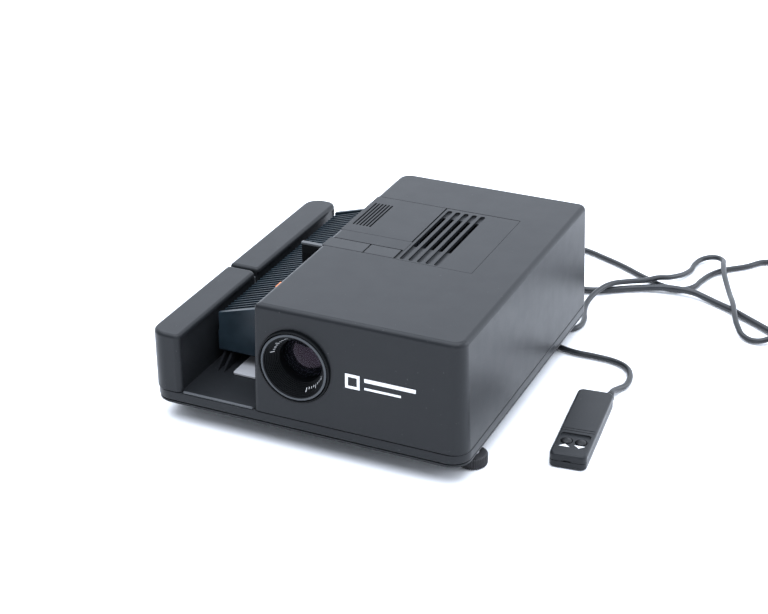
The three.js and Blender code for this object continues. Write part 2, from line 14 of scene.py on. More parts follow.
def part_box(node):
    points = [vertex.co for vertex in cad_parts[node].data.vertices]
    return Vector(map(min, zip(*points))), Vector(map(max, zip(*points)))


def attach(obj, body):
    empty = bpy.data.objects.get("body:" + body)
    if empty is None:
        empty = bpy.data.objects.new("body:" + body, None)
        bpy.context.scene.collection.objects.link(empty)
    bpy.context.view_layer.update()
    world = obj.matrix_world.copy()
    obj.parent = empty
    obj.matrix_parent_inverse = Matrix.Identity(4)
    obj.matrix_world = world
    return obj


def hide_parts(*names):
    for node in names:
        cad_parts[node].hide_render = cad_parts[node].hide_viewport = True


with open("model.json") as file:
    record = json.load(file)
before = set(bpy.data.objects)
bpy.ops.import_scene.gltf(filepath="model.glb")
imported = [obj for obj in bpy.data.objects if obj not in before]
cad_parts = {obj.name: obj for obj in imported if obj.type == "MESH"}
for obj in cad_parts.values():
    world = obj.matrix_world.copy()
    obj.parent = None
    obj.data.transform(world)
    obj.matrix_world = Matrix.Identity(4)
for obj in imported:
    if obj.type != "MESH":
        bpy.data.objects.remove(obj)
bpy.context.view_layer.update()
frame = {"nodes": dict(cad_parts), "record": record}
record = frame["record"]
node_body = {
    node: body
    for body, nodes in record["behaviour"]["bodies"].items()
    for node in nodes
}
node_slot = {part["node"]: part["material_slot"] for part in record["subparts"]}
base_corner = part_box("base_pan")[0]

# ---------- driving dimensions ----------
WIDTH = 270
DEPTH = 286
TOP = 121
SEAM = 28
BODY_LEFT = 92
WALL = 3
GAP = 0.3
DRAFT = math.tan(math.radians(2))
WING_WIDTH = 27.6
WING_TOP = 79
WING_INNER = 25.6
WING_WALL = 3.5
WING_CAP = 4
WING_SPLIT = 131.2
LENS_X = 129
LENS_Z = 74.3
# The cone in front of the lens glass: how deep it is, its radius there, and how much it widens.
CONE_DEPTH = 12
CONE_RADIUS = 18.6
CONE_FLARE = 6.6
GATE_Y = 131
# The openings in the top: left, right, front, back. KEYS has its split after its left.
LID = (161.6, 227, 117.4, 226)
PANEL = (96.6, 161, 152, 225.6)
KEYS = (95.6, 132.3, 160.4, 118, 135)
VENTS = 5
FIRST_VENT = 164
VENT_STEP = 7.4
VENT_WIDTH = 4.4
LEAD_AT = (200, 38)
SOCKET_AT = (150, 42)
FEET_X = (9, 261)
FEET_Y = 40
WHEEL_RADIUS = 12
WHEEL_HEIGHT = 9.6
REMOTE_CORD = 5
MAINS_CORD = 6
HANDSET_AT = (315.8, 58.8)
HANDSET_YAW = math.radians(6)
HANDSET_SIZE = (29.5, 105, 12.6)
BAY_DEPTH = 1.4
BUTTONS_X = (9, 20.5)
BUTTONS_Y = 23
STUDIO_TINT = (0.84, 0.9, 1.0)


def at(x, y, z):
    """A point in the frame's metres, from millimetres on the machine."""
    return Vector((base_corner[0] + x / 1000, base_corner[1] + y / 1000, z / 1000))


def on_handset(x, y, z):
    """The same for a point given from the handset's own front left corner."""
    c, s = math.cos(HANDSET_YAW), math.sin(HANDSET_YAW)
    return at(HANDSET_AT[0] + c * x - s * y, HANDSET_AT[1] + s * x + c * y, z)


# ---------- camera, light and floor ----------
def add_camera():
    data = bpy.data.cameras.new("camera")
    data.lens = 81.56
    data.sensor_width = 36
    camera = bpy.data.objects.new("camera", data)
    bpy.context.scene.collection.objects.link(camera)
    azimuth = math.radians(24.704)
    elevation = math.radians(27.146)
    roll = math.radians(-0.412)
    forward = Vector((
        -math.sin(azimuth) * math.cos(elevation),
        math.cos(azimuth) * math.cos(elevation),
        -math.sin(elevation),
    ))
    right = Vector((math.cos(azimuth), math.sin(azimuth), 0))
    up = right.cross(forward)
    across = math.cos(roll) * right + math.sin(roll) * up
    upward = math.cos(roll) * up - math.sin(roll) * right
    place = Vector((0.50535, -1.16700, 0.71975))
    camera.matrix_world = Matrix((
        (across.x, upward.x, -forward.x, place.x),
        (across.y, upward.y, -forward.y, place.y),
        (across.z, upward.z, -forward.z, place.z),
        (0, 0, 0, 1),
    ))
    bpy.context.scene.camera = camera


def add_area_light(name, place, target, size, watts):
    data = bpy.data.lights.new(name, "AREA")
    data.shape = "RECTANGLE"
    data.size, data.size_y = size
    data.energy = watts
    data.color = STUDIO_TINT
    light = bpy.data.objects.new(name, data)
    bpy.context.scene.collection.objects.link(light)
    light.location = place
    light.rotation_euler = (Vector(target) - Vector(place)).to_track_quat("-Z", "Y").to_euler()


def add_studio():
    """A white sweep that is bright behind the object and dim in front of it."""
    bpy.context.scene.view_settings.view_transform = "Standard"
    world = bpy.data.worlds.new("studio")
    world.use_nodes = True
    tree = world.node_tree
    background = tree.nodes["Background"]
    background.inputs["Color"].default_value = (*STUDIO_TINT, 1)
    direction = tree.nodes.new("ShaderNodeTexCoord")
    facing = tree.nodes.new("ShaderNodeVectorMath")
    facing.operation = "DOT_PRODUCT"
    facing.inputs[1].default_value = (0.28, 0.88, 0.38)
    brightness = tree.nodes.new("ShaderNodeMapRange")
    brightness.inputs["From Min"].default_value = -0.7
    brightness.inputs["From Max"].default_value = 0.55
    brightness.inputs["To Min"].default_value = 0.12
    brightness.inputs["To Max"].default_value = 2.35
    tree.links.new(direction.outputs["Generated"], facing.inputs[0])
    tree.links.new(facing.outputs["Value"], brightness.inputs["Value"])
    tree.links.new(brightness.outputs["Result"], background.inputs["Strength"])
    bpy.context.scene.world = world
    add_area_light("overhead", (-0.1, -0.5, 2.3), (-0.1, -0.5, 0), (3.2, 2.8), 120)
    add_area_light("side", (2.0, 1.2, 0.9), (0.1, 0.1, 0.05), (1.4, 1.2), 26)
    add_area_light("window", (0.1, -2.4, 0.55), (0, 0, 0.08), (0.9, 0.8), 9)


def add_floor():
    mesh = bpy.data.meshes.new("floor")
    reach = 8
    corners = [(-reach, -reach, 0), (reach, -reach, 0), (reach, reach, 0), (-reach, reach, 0)]
    mesh.from_pydata(corners, [], [(0, 1, 2, 3)])
    floor = bpy.data.objects.new("floor", mesh)
    floor.location.z = -0.0003
    bpy.context.scene.collection.objects.link(floor)
    mesh.materials.append(finish("floor_paper", (0.86, 0.87, 0.89), (0.9, 0.9, 0.91), 0.75,
                                 grain=0.8, bump=0.02))


# ---------- materials ----------
def new_material(name):
    material = bpy.data.materials.new(name)
    material.use_nodes = True
    tree = material.node_tree
    return material, tree, tree.nodes["Principled BSDF"]


def noise(tree, scale, detail=3.0, roughness=0.5, stretch=None):
    """A noise value in the object's own space, with scale in blobs a metre."""
    coordinates = tree.nodes.new("ShaderNodeTexCoord")
    mapping = tree.nodes.new("ShaderNodeMapping")
    mapping.inputs["Scale"].default_value = stretch or (1, 1, 1)
    texture = tree.nodes.new("ShaderNodeTexNoise")
    texture.inputs["Scale"].default_value = scale
    texture.inputs["Detail"].default_value = detail
    texture.inputs["Roughness"].default_value = roughness
    tree.links.new(coordinates.outputs["Object"], mapping.inputs["Vector"])
    tree.links.new(mapping.outputs["Vector"], texture.inputs["Vector"])
    return texture.outputs["Fac"]


def ramp(tree, value, stops):
    """Colours read off a value, as (place, colour) stops."""
    node = tree.nodes.new("ShaderNodeValToRGB")
    elements = node.color_ramp.elements
    while len(elements) < len(stops):
        elements.new(0.5)
    for element, (place, colour) in zip(elements, stops):
        element.position = place
        element.color = (*colour, 1)
    tree.links.new(value, node.inputs["Fac"])
    return node.outputs["Color"]


def mixed(tree, factor, first, second):
    node = tree.nodes.new("ShaderNodeMix")
    node.data_type = "RGBA"
    tree.links.new(factor, node.inputs["Factor"])
    tree.links.new(first, node.inputs["A"])
    tree.links.new(second, node.inputs["B"])
    return node.outputs["Result"]


def spread(tree, value, low, high, start=0.35, end=0.65):
    node = tree.nodes.new("ShaderNodeMapRange")
    node.inputs["From Min"].default_value = start
    node.inputs["From Max"].default_value = end
    node.inputs["To Min"].default_value = low
    node.inputs["To Max"].default_value = high
    tree.links.new(value, node.inputs["Value"])
    return node.outputs["Result"]


def add_bump(tree, shader, value, strength, depth):
    node = tree.nodes.new("ShaderNodeBump")
    node.inputs["Strength"].default_value = strength
    node.inputs["Distance"].default_value = depth / 1000
    tree.links.new(value, node.inputs["Height"])
    tree.links.new(node.outputs["Normal"], shader.inputs["Normal"])


def finish(name, dark, light, roughness, grain=0.5, bump=0.15, metallic=0.0, dust=0.0,
           stretch=None, specular=0.5):
    """A mottled finish with a grain of that size in millimetres and a little uneven gloss."""
    material, tree, shader = new_material(name)
    cloudy = noise(tree, 22, 4.0, 0.6)
    colour = ramp(tree, cloudy, [(0.3, dark), (0.7, light)])
    fine = noise(tree, 1000 / grain, 2.0, 0.6, stretch)
    speck = ramp(tree, fine, [(0.3, tuple(0.8 * c for c in dark)), (0.75, light)])
    half = spread(tree, fine, 0.2, 0.5)
    colour = mixed(tree, half, colour, speck)
    if dust:
        pale = tuple(min(1.0, c + dust) for c in light)
        specks = noise(tree, 420, 1.0, 0.4)
        sparse = spread(tree, specks, 0.0, 1.0, 0.76, 0.8)
        colour = mixed(tree, sparse, colour, ramp(tree, fine, [(0.2, pale), (0.8, pale)]))
    tree.links.new(colour, shader.inputs["Base Color"])
    gloss = spread(tree, noise(tree, 60, 3.0), roughness - 0.015, roughness + 0.02)
    tree.links.new(gloss, shader.inputs["Roughness"])
    add_bump(tree, shader, fine, bump, 0.06)
    shader.inputs["Metallic"].default_value = metallic
    shader.inputs["Specular IOR Level"].default_value = specular
    return material


def clear_glass(name, tint, sheen, index=1.6):
    """Coated glass; sheen is the colour of its reflection, which a low index makes weak."""
    material, tree, shader = new_material(name)
    haze = noise(tree, 300, 2.0)
    tree.links.new(ramp(tree, haze, [(0.3, tint), (0.8, tuple(min(1, c * 1.1) for c in tint))]),
                   shader.inputs["Base Color"])
    tree.links.new(spread(tree, haze, 0.01, 0.04), shader.inputs["Roughness"])
    shader.inputs["Transmission Weight"].default_value = 0.9
    shader.inputs["IOR"].default_value = index
    shader.inputs["Specular Tint"].default_value = (*sheen, 1)
    return material


def smoky_plastic(name):
    """The tray's dark, slightly see-through moulding."""
    material, tree, shader = new_material(name)
    cloudy = noise(tree, 45, 3.0)
    tree.links.new(ramp(tree, cloudy, [(0.3, (0.008, 0.014, 0.019)), (0.7, (0.014, 0.024, 0.032))]),
                   shader.inputs["Base Color"])
    tree.links.new(spread(tree, cloudy, 0.28, 0.36), shader.inputs["Roughness"])
    shader.inputs["Specular IOR Level"].default_value = 0.22
    add_bump(tree, shader, noise(tree, 900, 2.0), 0.08, 0.03)
    return material


def brushed_metal(name, dark, light, roughness):
    return finish(name, dark, light, roughness, grain=0.6, bump=0.12, metallic=0.95,
                  stretch=(0.06, 1, 1))


def circuit_board(name):
    """Green lacquer with a pattern of copper tracks under it."""
    material, tree, shader = new_material(name)
    coordinates = tree.nodes.new("ShaderNodeTexCoord")
    tracks = tree.nodes.new("ShaderNodeTexVoronoi")
    tracks.feature = "DISTANCE_TO_EDGE"
    tracks.inputs["Scale"].default_value = 160
    tree.links.new(coordinates.outputs["Object"], tracks.inputs["Vector"])
    colour = ramp(tree, tracks.outputs["Distance"],
                  [(0.03, (0.10, 0.20, 0.08)), (0.09, (0.015, 0.075, 0.035))])
    tree.links.new(colour, shader.inputs["Base Color"])
    tree.links.new(spread(tree, noise(tree, 80), 0.3, 0.45), shader.inputs["Roughness"])
    return material


materials = {
    "housing_plastic": finish("charcoal_plastic", (0.0115, 0.0125, 0.014), (0.0135, 0.0145, 0.016),
                              0.34, grain=0.7, bump=0.22, dust=0.02, specular=0.16),
    "key_plastic": finish("key_plastic", (0.0125, 0.0135, 0.015), (0.0145, 0.0155, 0.017),
                          0.32, grain=0.6, bump=0.16, specular=0.18),
    "black_plastic": finish("black_plastic", (0.005, 0.0053, 0.006), (0.009, 0.0095, 0.0105),
                            0.4, grain=0.5, bump=0.12, specular=0.2),
    "tray_plastic": smoky_plastic("smoky_plastic"),
    "rubber": finish("rubber", (0.014, 0.014, 0.015), (0.024, 0.024, 0.026), 0.62,
                     grain=0.9, bump=0.2, specular=0.4),
    "grey_plastic": finish("grey_plastic", (0.33, 0.33, 0.34), (0.40, 0.40, 0.41), 0.45,
                           grain=0.6, bump=0.12),
    "steel": brushed_metal("brushed_steel", (0.36, 0.36, 0.37), (0.48, 0.48, 0.5), 0.34),
    "bright_metal": brushed_metal("bright_metal", (0.75, 0.75, 0.76), (0.85, 0.85, 0.86), 0.12),
    "glass": clear_glass("coated_glass", (0.72, 0.76, 0.84), (0.8, 0.86, 1.0)),
    "mirror": finish("cold_mirror", (0.62, 0.7, 0.82), (0.7, 0.78, 0.88), 0.08, grain=4,
                     bump=0.01, metallic=0.9),
    "board": circuit_board("circuit_board"),
    "ceramic": finish("ceramic", (0.60, 0.56, 0.47), (0.72, 0.68, 0.60), 0.5, grain=1.2, bump=0.2),
}
cord_sheath = finish("cord_sheath", (0.008, 0.009, 0.0105), (0.015, 0.017, 0.0195), 0.36,
                     grain=1.5, bump=0.12, specular=0.4)
# Black paint of the lens tube and port ring, also used as painted shade on the changer blade and the lamp
# house.
black_and_shade = finish("black_and_shade", (0.0025, 0.003, 0.0035), (0.004, 0.0045, 0.005), 0.4,
                    grain=0.8, bump=0.05, specular=0.08)
# The lens glass's near-black tint is painted shade for the dark inside of the lens; its mauve sheen is the
# coating's reflection colour.
lens_glass = clear_glass("lens_glass", (0.04, 0.044, 0.055), (1.0, 0.72, 0.94), index=1.25)
rim_grey = finish("lens_rim", (0.03, 0.033, 0.037), (0.045, 0.05, 0.055), 0.32, grain=0.8, bump=0.05,
                  specular=0.3)
# Mid grey for the guide pin, also used as a painted highlight on the channel lip and on the changer bar.
grey_and_highlight = finish("grey_and_highlight", (0.05, 0.053, 0.057), (0.07, 0.073, 0.077), 0.4, grain=0.6, bump=0.1,
                  specular=0.25)
white_print = finish("white_print", (0.72, 0.72, 0.72), (0.8, 0.8, 0.8), 0.5, grain=0.4, bump=0.08)
orange_print = finish("orange_print", (0.5, 0.13, 0.03), (0.6, 0.18, 0.05), 0.5, grain=0.4, bump=0.1)
nickel = brushed_metal("nickel", (0.55, 0.53, 0.5), (0.68, 0.66, 0.62), 0.25)


# ---------- meshes ----------
def shade(mesh, angle=38):
    for polygon in mesh.polygons:
        polygon.use_smooth = True
    mesh.set_sharp_from_angle(angle=math.radians(angle))


def new_piece(name, builder, place=at):
    """An object from a bmesh whose points are in millimetres."""
    bmesh.ops.recalc_face_normals(builder, faces=builder.faces)
    for vertex in builder.verts:
        vertex.co = place(*vertex.co)
    mesh = bpy.data.meshes.new(name)
    builder.to_mesh(mesh)
    builder.free()
    shade(mesh)
    piece = bpy.data.objects.new(name, mesh)
    bpy.context.scene.collection.objects.link(piece)
    return piece


def add_loft(builder, rings, closed=False):
    """Skins a row of rings with the same number of points; closed joins the last to the first."""
    loops = [[builder.verts.new(point) for point in ring] for ring in rings]
    pairs = list(zip(loops, loops[1:]))
    if closed:
        pairs.append((loops[-1], loops[0]))
    for lower, upper in pairs:
        for i in range(len(lower)):
            j = (i + 1) % len(lower)
            builder.faces.new((lower[i], lower[j], upper[j], upper[i]))
    if not closed:
        builder.faces.new(list(reversed(loops[0])))
        builder.faces.new(loops[-1])


def outline(x0, x1, y0, y1, radii, z, inset=0.0, steps=8):
    """A rounded rectangle; radii run front left, front right, back right, back left."""
    if not isinstance(radii, (tuple, list)):
        radii = (radii,) * 4
    x0, x1, y0, y1 = x0 + inset, x1 - inset, y0 + inset, y1 - inset
    corners = [(x0, y0, 1, 1, 180), (x1, y0, -1, 1, 270), (x1, y1, -1, -1, 0), (x0, y1, 1, -1, 90)]
    points = []
    for (x, y, sx, sy, start), radius in zip(corners, radii):
        r = max(0.15, radius - inset)
        for i in range(steps + 1):
            angle = math.radians(start + 90 * i / steps)
            points.append((x + sx * r + r * math.cos(angle), y + sy * r + r * math.sin(angle), z))
    return points


def edge_profile(z0, z1, low_edge, high_edge, steps=6):
    """(inset, height) steps up a wall whose bottom and top edges are rounded."""
    levels = []
    for i in range(steps + 1):
        a = math.pi / 2 * i / steps
        levels.append((low_edge * (1 - math.sin(a)), z0 + low_edge * (1 - math.cos(a))))
    for i in range(steps + 1):
        a = math.pi / 2 * i / steps
        levels.append((high_edge * (1 - math.cos(a)), z1 - high_edge * (1 - math.sin(a))))
    return levels


def add_block(builder, rect, heights, corners, low_edge=0.3, high_edge=0.3, lean=0.0):
    """A block with rounded corners and edges; lean is the moulding draft above the seam."""
    rings = []
    for inset, z in edge_profile(*heights, low_edge, high_edge):
        rings.append(outline(*rect, corners, z, inset + lean * max(0, z - SEAM)))
    add_loft(builder, rings)


def block(name, rect, heights, corners, place=at, **edges):
    builder = bmesh.new()
    add_block(builder, rect, heights, corners, **edges)
    return new_piece(name, builder, place)


def add_box(builder, x0, x1, y0, y1, z0, z1):
    add_loft(builder, [
        [(x0, y0, z), (x1, y0, z), (x1, y1, z), (x0, y1, z)]
        for z in (z0, z1)
    ])


def add_lathe(builder, profile, centre, axis="y", segments=64):
    """Turns a closed row of (radius, distance along) points about an axis."""
    rings = []
    for i in range(segments):
        angle = 2 * math.pi * i / segments
        c, s = math.cos(angle), math.sin(angle)
        if axis == "y":
            ring = [(centre[0] + r * c, t, centre[1] + r * s) for r, t in profile]
        elif axis == "x":
            ring = [(t, centre[0] + r * c, centre[1] + r * s) for r, t in profile]
        else:
            ring = [(centre[0] + r * c, centre[1] + r * s, t) for r, t in profile]
        rings.append(ring)
    add_loft(builder, rings, closed=True)
    bmesh.ops.remove_doubles(builder, verts=builder.verts, dist=1e-4)


def turned(name, profile, centre, axis="y", segments=64, place=at):
    builder = bmesh.new()
    add_lathe(builder, profile, centre, axis, segments)
    return new_piece(name, builder, place)


def settle(piece):
    """Applies the piece's modifiers."""
    mesh = bpy.data.meshes.new_from_object(piece.evaluated_get(bpy.context.evaluated_depsgraph_get()))
    piece.modifiers.clear()
    piece.data = mesh


def carve(piece, builder, place=at):
    """Cuts the solids in a bmesh out of the piece."""
    cutter = new_piece("cutter", builder, place)
    modifier = piece.modifiers.new("cut", "BOOLEAN")
    modifier.operation = "DIFFERENCE"
    modifier.solver = "EXACT"
    modifier.object = cutter
    settle(piece)
    bpy.data.objects.remove(cutter)
    shade(piece.data)


def soften(piece, width, angle=40, segments=2):
    """Rounds the piece's sharp edges by that many millimetres."""
    bevel = piece.modifiers.new("soft_edges", "BEVEL")
    bevel.width = width / 1000
    bevel.segments = segments
    bevel.limit_method = "ANGLE"
    bevel.angle_limit = math.radians(angle)
    bevel.use_clamp_overlap = True
    settle(piece)
    shade(piece.data, 50)


def even_shading(piece):
    normals = piece.modifiers.new("even_shading", "WEIGHTED_NORMAL")
    normals.keep_sharp = True


def show(piece, node, material=None, stands_for=True):
    """Gives the piece its finish and body; unless it is only trim, the node is hidden."""
    piece.data.materials.clear()
    piece.data.materials.append(material or materials[node_slot[node]])
    if piece.type == "MESH":
        even_shading(piece)
    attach(piece, node_body[node])
    if stands_for:
        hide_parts(node)
        shown.add(node)


shown = set()


# ---------- cords ----------
def cord_curve(name, points, diameter, material):
    data = bpy.data.curves.new(name, "CURVE")
    data.dimensions = "3D"
    data.bevel_depth = diameter / 2000
    data.bevel_resolution = 5
    data.resolution_u = 6
    data.use_fill_caps = True
    spline = data.splines.new("BEZIER")
    spline.bezier_points.add(len(points) - 1)
    for knot, point in zip(spline.bezier_points, points):
        knot.co = at(*point)
        knot.handle_left_type = "AUTO"
        knot.handle_right_type = "AUTO"
    data.materials.append(material)
    piece = bpy.data.objects.new(name, data)
    bpy.context.scene.collection.objects.link(piece)
    return piece


def coil_turns(centre, middle, diameter, cells, start, turns, steps=18):
    """A neat coil: each turn lies in its own cell, one diameter from the next."""
    points = []
    for i in range(round(turns * steps) + 1):
        turn = i / steps
        whole = min(int(turn), len(cells) - 1)
        following = min(whole + 1, len(cells) - 1)
        shift = max(0.0, (turn - whole) * 3 - 2)
        column = cells[whole][0] * (1 - shift) + cells[following][0] * shift
        layer = cells[whole][1] * (1 - shift) + cells[following][1] * shift
        angle = math.radians(start) + 2 * math.pi * turn
        radius = middle + column * diameter
        points.append((
            centre[0] + radius * math.cos(angle),
            centre[1] + radius * math.sin(angle),
            (layer + 0.5) * diameter + 0.3,
        ))
    return points


# From the handset, under the back of the base, out and away to the right.
remote_front = [
    (328.8, 174.4, 6.2), (328.7, 180, 5.6), (330.5, 188, 4), (333.8, 197, 2.8), (334.2, 207, 2.8),
    (332, 217, 2.8), (325.5, 227.5, 2.8), (314, 233.6, 2.8), (296, 235.5, 2.8), (274, 236, 2.8),
    (259.5, 241, 2.8), (251, 249.5, 2.8), (250.5, 262, 2.8), (258, 271.5, 2.8), (264.5, 281, 2.8),
    (265, 295, 2.8), (260, 311, 2.8), (257.5, 323, 4), (258.5, 334, 6.6), (262, 346, 9),
    (268.5, 360, 10), (281, 373, 9.2), (295, 382.5, 8.9), (303, 392, 8.8), (313, 402, 6.8),
    (324, 430, 3.2), (324.5, 445, 3.6), (328.5, 457, 4.4), (338, 462.5, 5.6),
    (347.5, 457, 7), (351.5, 445, 8.6), (356, 429, 9), (372, 388, 8.2), (381.5, 364, 9.9),
    (386.5, 349, 8.8), (393.5, 333, 6), (403, 321, 3.2), (414, 317.5, 3.2), (424.5, 322.5, 5.4),
    (434, 332.5, 9.7), (440.5, 344, 9), (451, 358, 6.5), (465, 368.5, 4),
]
# Back from the coil, behind the mains lead, and round to the plug behind the machine.
remote_back = [
    (471, 437.5, 7), (458, 446, 5.2), (442, 458, 3.4), (430, 466.5, 2.8), (408, 478, 2.8),
    (386, 479, 2.8), (369, 460, 2.8), (353, 445, 2.8), (344, 431, 2.8), (339, 414, 2.8),
    (336, 399, 2.8), (329, 390.5, 2.8), (318, 388, 2.8), (307, 390.5, 2.8), (296, 396, 2.8),
    (284, 402.5, 2.8), (263, 415, 2.8), (242, 425, 2.8), (220, 434, 2.8), (197, 436, 2.8),
    (176, 426, 2.8), (163, 408, 2.8), (156, 388, 5), (152, 368, 16), (150, 350, 34),
    (150, 338, 41), (150, 330.4, 42),
]
mains_route = [
    (200, 316.8, 38), (200.5, 325, 36.5), (204, 337, 27), (213, 347, 13), (224, 351, 6),
    (237, 351.5, 3.6), (249, 352.5, 3.4), (263, 358.5, 3.4), (284, 371.5, 3.4), (302, 379.5, 4.2),
    (316, 382, 5.4), (329, 382.3, 6), (341, 382, 5.6), (352, 379, 4.4), (364, 374, 3.6),
    (382, 365, 3.4), (400, 353.5, 3.4), (419, 341, 3.4), (434, 331, 3.4), (447, 318, 3.3),
]
mains_tail = [(453.5, 287, 8.8), (453.5, 274, 8.2), (456.5, 261.5, 7.4), (464.5, 252.5, 7),
              (476, 247.5, 6.8)]
remote_coil_at = (484, 404)
mains_coil_at = (492, 300)


def add_cords():
    order = [(1, 0), (0, 0), (-1, 0), (-1, 1), (-1, 2), (0, 2), (0, 1), (1, 2), (1, 1)]
    coil = coil_turns(remote_coil_at, 26, REMOTE_CORD, order, -90, 8.5)
    remote = cord_curve("remote_lead", remote_front + coil + remote_back, REMOTE_CORD, cord_sheath)
    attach(remote, "housing")
    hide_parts("remote_cord_front", "remote_cord_coil", "remote_cord_back")
    order = [(1, 0), (0, 0), (-1, 0), (-1, 1), (0, 1), (0, 2), (1, 1)]
    coil = coil_turns(mains_coil_at, 31, MAINS_CORD, order, 180, 7)
    mains = cord_curve("mains_lead", mains_route + coil + mains_tail, MAINS_CORD, cord_sheath)
    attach(mains, "housing")
    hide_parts("mains_cord", "mains_cord_coil")
    shown.update(("remote_cord_front", "remote_cord_coil", "remote_cord_back",
                  "mains_cord", "mains_cord_coil"))


def ribbed_profile(radius, end_radius, start, length, ribs):
    """(radius, distance) points of a taper with raised rings, closed on the axis."""
    points = [(0, start)]
    pitch = length / ribs
    for i in range(ribs):
        r = radius + (end_radius - radius) * i / ribs
        y = start + i * pitch
        points += [(r, y + 0.2), (r, y + pitch * 0.55), (r - 0.9, y + pitch * 0.65), (r - 0.9, y + pitch)]
    points += [(end_radius, start + length - 0.4), (0, start + length)]
    return points


def build_strain_relief():
    builder = bmesh.new()
    add_lathe(builder, [(0, 280), (6, 280), (6, 286.4), (7.4, 286.4), (8, 287), (8, 290.4),
                        (7.4, 291), (5.8, 291), (0, 291)], LEAD_AT)
    add_lathe(builder, ribbed_profile(5.8, 3.9, 290.5, 25.5, 6), LEAD_AT, segments=40)
    return new_piece("mains_lead_relief", builder)


def build_remote_plug():
    builder = bmesh.new()
    body = [(0, 288.4), (7, 288.4), (7.6, 289), (7.6, 306.5), (6.6, 308), (0, 308)]
    add_lathe(builder, body, SOCKET_AT)
    for i in range(6):
        y = 292 + i * 2.4
        add_lathe(builder, [(0, y), (7.7, y), (7.95, y + 0.4), (7.95, y + 1), (7.7, y + 1.4),
                            (0, y + 1.4)], SOCKET_AT)
    add_lathe(builder, ribbed_profile(5, 3, 307.5, 22.5, 5), SOCKET_AT, segments=40)
    return new_piece("remote_lead_plug", builder)


def build_mains_plug():
    """The plug's body, and beside it the two pins."""
    body = block("mains_lead_plug", (475, 509, 238.5, 256.5), (0.2, 13.5), 6, low_edge=2.5, high_edge=2.5)
    grips = bmesh.new()
    for i in range(4):
        add_box(grips, 478.5 + i * 3.2, 480 + i * 3.2, 235, 239.4, 3, 11)
        add_box(grips, 478.5 + i * 3.2, 480 + i * 3.2, 255.6, 260, 3, 11)
    carve(body, grips)
    soften(body, 0.25)
    pins = []
    for name, y in (("front", 242), ("back", 253)):
        profile = [(0, 506), (2.35, 506), (2.35, 525.8), (1.6, 526.9), (0, 527)]
        pins.append(turned(f"mains_pin_{name}", profile, (y, 6.75), "x", 32))
    return body, pins


def build_sleeve():
    """The short sleeve that carries the lead out of the handset."""
    profile = [(0, 105.3), (3.6, 105.3), (4, 105.7), (4, 106.8), (3.5, 107.2), (3.5, 108.6),
               (3.2, 108.9), (3.3, 109.4), (3.3, 110.6), (3, 111), (3, 112.6), (2.7, 113), (0, 113)]
    return turned("handset_sleeve", profile, (25, 6.2), place=on_handset)


# ---------- base ----------
def build_base():
    """A pan with a groove near its foot; its floor holds air slots and the feet's holes."""
    corners = (16, 16, 10, 10)
    levels = [
        (4.6, 15.5), (4.0, 15.7), (3.6, 16.4), (1.0, 16.9), (0.5, 17.3), (0.5, 18.6), (0.9, 19.0),
        (1.6, 19.3), (1.6, 19.9), (0.5, 20.1), (0.1, 20.5), (0, 21), (0, 27.0), (0.2, 27.4),
        (0.6, 27.6), (2.7, 27.6), (2.9, 27.4), (3, 27), (3, 20.6), (3.4, 20.5),
    ]
    rings = [outline(0, WIDTH, 0, DEPTH, corners, z, inset, 10) for inset, z in levels]
    builder = bmesh.new()
    add_loft(builder, rings)
    add_box(builder, BODY_LEFT, BODY_LEFT + WALL, 2.5, DEPTH - 2.5, 20.4, 27.6)
    pan = new_piece("base", builder)
    holes = bmesh.new()
    for i in range(7):
        y = 150 + i * 9
        add_block(holes, (180, 236, y, y + 4.5), (10, 24), 2.1)
    for x in FEET_X:
        add_lathe(holes, [(0, 10), (5.6, 10), (5.6, 24), (0, 24)], (x, FEET_Y), "z", 48)
    carve(pan, holes)
    return pan


def build_channel_lip():
    """The raised lip along the front edge of the tray channel, whose light grey is a painted highlight."""
    rect = (WING_WIDTH + 1, BODY_LEFT - 1, 0.6, 2.4)
    return block("channel_lip", rect, (SEAM, SEAM + 1.6), 0.3, high_edge=0.5)


# ---------- the housing ----------
def build_housing():
    rect = (BODY_LEFT, WIDTH, 0, DEPTH)
    corners = (5, 14, 10, 14)
    shell = block("housing", rect, (SEAM + 0.2, TOP), corners, low_edge=0.5, high_edge=4.2, lean=DRAFT)
    hollow = bmesh.new()
    inner = (BODY_LEFT + WALL, WIDTH - WALL, WALL, DEPTH - WALL)
    add_block(hollow, inner, (20, TOP - 3), (3, 11, 11, 11), high_edge=2, lean=DRAFT)
    carve(shell, hollow)
    for x0, x1, y0, y1 in (LID, PANEL, (KEYS[0], KEYS[2], KEYS[3], KEYS[4])):
        opening = bmesh.new()
        add_block(opening, (x0 - GAP, x1 + GAP, y0 - GAP, y1 + GAP), (110, 130), 0.9)
        carve(shell, opening)
    openings = bmesh.new()
    add_lathe(openings, [(0, -5), (30.7, -5), (30.7, 12), (0, 12)], (LENS_X, LENS_Z))
    add_box(openings, BODY_LEFT - 5, BODY_LEFT + 10, GATE_Y - 3.2, GATE_Y + 3.2, 43, 115.6)
    add_lathe(openings, [(0, 270), (6.3, 270), (6.3, 300), (0, 300)], LEAD_AT)
    add_lathe(openings, [(0, 270), (9.3, 270), (9.3, 300), (0, 300)], SOCKET_AT)
    add_box(openings, 221.7, 242.3, 270, 300, 59.7, 73.3)
    carve(shell, openings)
    soften(shell, 0.3, angle=55)
    return shell


